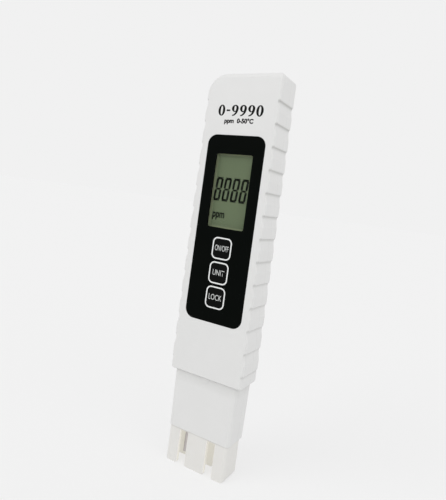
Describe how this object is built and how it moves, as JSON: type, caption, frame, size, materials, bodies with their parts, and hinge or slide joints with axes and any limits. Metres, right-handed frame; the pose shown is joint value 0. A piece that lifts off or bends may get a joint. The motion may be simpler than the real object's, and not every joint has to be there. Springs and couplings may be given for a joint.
{
  "type": "total dissolved solids meter",
  "caption": "Slim pen-shaped water meter with ribbed side grips, a display window and keys on a black panel, and a slotted probe guard below a narrower neck.",
  "frame": {"origin": "centre of the meter's footprint at the tips of the probe guard, mid-depth and mid-width of the case", "axes": "+Z along the meter's length from the probe to the top; the display faces -Y; +X is to the right when looking at the display"},
  "size_m": [0.0316, 0.0144, 0.1527],
  "materials": {
    "case_white": "fine satin moulded ABS, cool white",
    "probe_plastic": "satin moulded ABS, slightly creamier white",
    "panel_gloss": "glossy black printed panel",
    "window_clear": "clear polished acrylic",
    "lcd_glass": "clear display glass",
    "lcd_film": "grey-green polarising film",
    "key_black": "semi-gloss black key cap",
    "frame_white": "plain moulded plastic inside",
    "rubber_dark": "soft dark rubber",
    "board_green": "solder-masked circuit board",
    "part_black": "moulded black epoxy",
    "steel": "plated steel",
    "pin_metal": "dark titanium alloy",
    "contact_metal": "plated spring brass"
  },
  "bodies": {
    "housing": {"front_case": "case_white", "rear_case": "case_white", "panel_overlay": "panel_gloss", "display_window": "window_clear", "front_polariser": "lcd_film", "lcd_front_glass": "lcd_glass", "lcd_rear_glass": "lcd_glass", "lcd_reflector": "lcd_film", "lcd_frame": "frame_white", "zebra_strip": "rubber_dark", "main_board": "board_green", "driver_chip": "part_black", "quartz_crystal": "steel", "board_components": "part_black", "key_switches": "part_black", "probe_head": "probe_plastic", "electrode_pins": "pin_metal", "pin_seals": "rubber_dark", "probe_seal": "rubber_dark", "thermistor": "part_black", "battery_holder": "frame_white", "upper_cell": "steel", "lower_cell": "steel", "positive_contact": "contact_metal", "negative_contact": "contact_metal", "case_screws": "steel", "board_screws": "steel"},
    "on_off_button": {"on_off_key": "key_black", "on_off_plunger": "part_black"},
    "shift_button": {"shift_key": "key_black", "shift_plunger": "part_black"},
    "hold_button": {"hold_key": "key_black", "hold_plunger": "part_black"},
    "door": {"battery_door": "case_white", "bridge_contact": "contact_metal"}
  },
  "joints": [
    {"name": "on_off_press", "type": "slide", "parent": "housing", "child": "on_off_button", "axis": [0, 1, 0], "range_m": [0, 0.00025], "stiffness_N_per_m": 3000},
    {"name": "shift_press", "type": "slide", "parent": "housing", "child": "shift_button", "axis": [0, 1, 0], "range_m": [0, 0.00025], "stiffness_N_per_m": 3000},
    {"name": "hold_press", "type": "slide", "parent": "housing", "child": "hold_button", "axis": [0, 1, 0], "range_m": [0, 0.00025], "stiffness_N_per_m": 3000},
    {"name": "door_slide", "type": "slide", "parent": "housing", "child": "door", "axis": [0, 0, 1], "range_m": [0, 0.028]}
  ]
}
